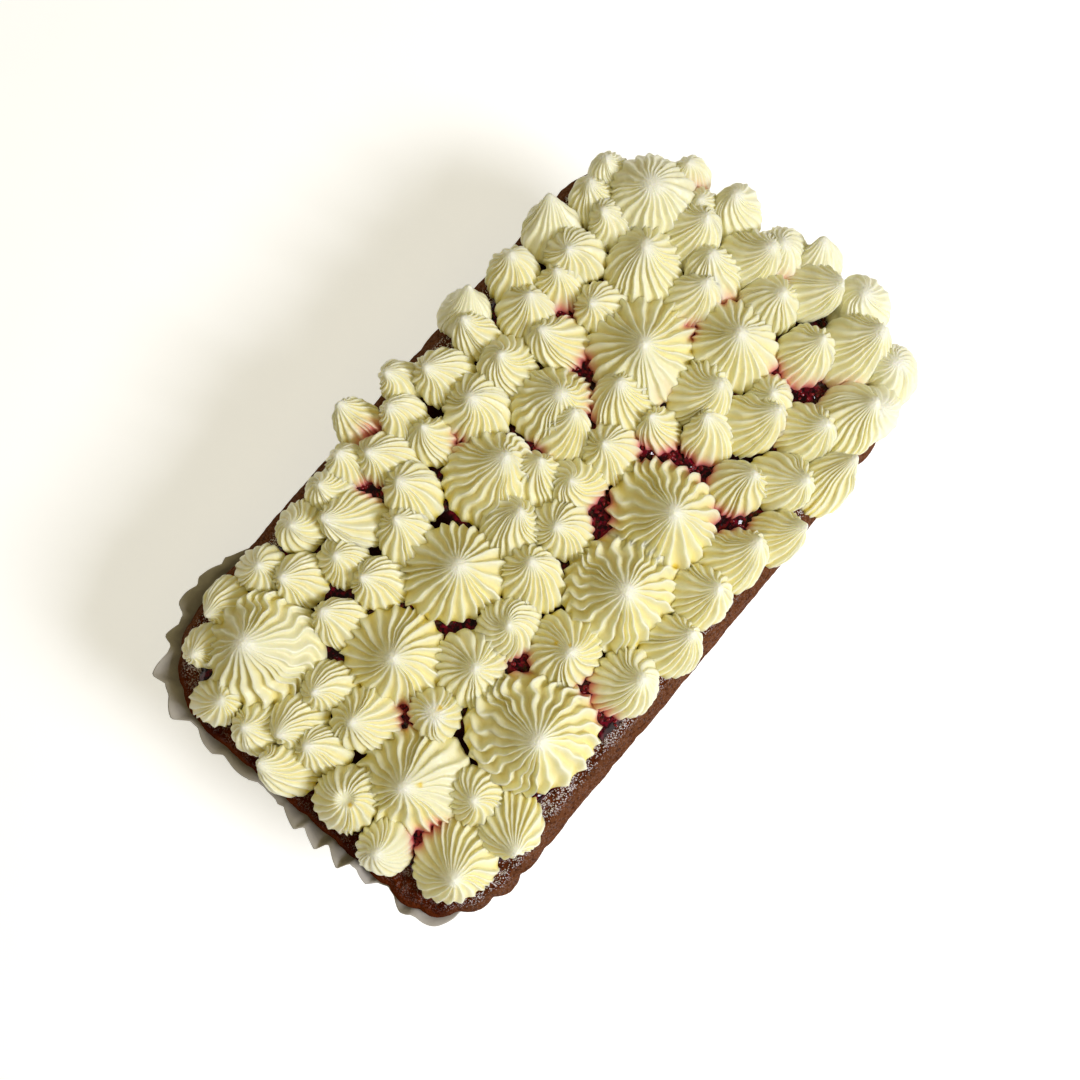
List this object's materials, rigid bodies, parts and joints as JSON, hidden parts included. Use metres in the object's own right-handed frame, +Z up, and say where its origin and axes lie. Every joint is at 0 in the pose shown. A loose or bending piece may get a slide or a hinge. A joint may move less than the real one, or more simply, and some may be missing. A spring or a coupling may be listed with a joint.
{
  "type": "raspberry cake",
  "caption": "Uncut chocolate loaf cake in a pleated paper case, spread with raspberry jam and covered with piped cream kisses of mixed sizes.",
  "frame": {"origin": "middle of the whole's footprint, on the flat base of the paper case", "axes": "+X along the loaf towards its far end in the picture, +Z up, -Y the loaf's front long side"},
  "size_m": [0.254, 0.146, 0.084],
  "materials": {
    "chocolate_sponge": "moist matte crumb with small glints",
    "greaseproof_paper": "matte, slightly waxy",
    "raspberry_jam": "wet gloss",
    "piped_cream": "satin"
  },
  "bodies": {
    "root": {"cake": "chocolate_sponge", "paper_case": "greaseproof_paper", "raspberry_jam": "raspberry_jam", "kiss_01": "piped_cream", "kiss_02": "piped_cream", "kiss_03": "piped_cream", "kiss_04": "piped_cream", "kiss_05": "piped_cream", "kiss_06": "piped_cream", "kiss_07": "piped_cream", "kiss_08": "piped_cream", "kiss_09": "piped_cream", "kiss_10": "piped_cream", "kiss_11": "piped_cream", "kiss_12": "piped_cream", "kiss_13": "piped_cream", "kiss_14": "piped_cream", "kiss_15": "piped_cream", "kiss_16": "piped_cream", "kiss_17": "piped_cream", "kiss_18": "piped_cream", "kiss_19": "piped_cream", "kiss_20": "piped_cream", "kiss_21": "piped_cream", "kiss_22": "piped_cream", "kiss_23": "piped_cream", "kiss_24": "piped_cream", "kiss_25": "piped_cream", "kiss_26": "piped_cream", "kiss_27": "piped_cream", "kiss_28": "piped_cream", "kiss_29": "piped_cream", "kiss_30": "piped_cream", "kiss_31": "piped_cream", "kiss_32": "piped_cream", "kiss_33": "piped_cream", "kiss_34": "piped_cream", "kiss_35": "piped_cream", "kiss_36": "piped_cream", "kiss_37": "piped_cream", "kiss_38": "piped_cream", "kiss_39": "piped_cream", "kiss_40": "piped_cream", "kiss_41": "piped_cream", "kiss_42": "piped_cream", "kiss_43": "piped_cream", "kiss_44": "piped_cream", "kiss_45": "piped_cream", "kiss_46": "piped_cream", "kiss_47": "piped_cream", "kiss_48": "piped_cream", "kiss_49": "piped_cream", "kiss_50": "piped_cream", "kiss_51": "piped_cream", "kiss_52": "piped_cream", "kiss_53": "piped_cream", "kiss_54": "piped_cream", "kiss_55": "piped_cream", "kiss_56": "piped_cream", "kiss_57": "piped_cream"}
  },
  "joints": []
}
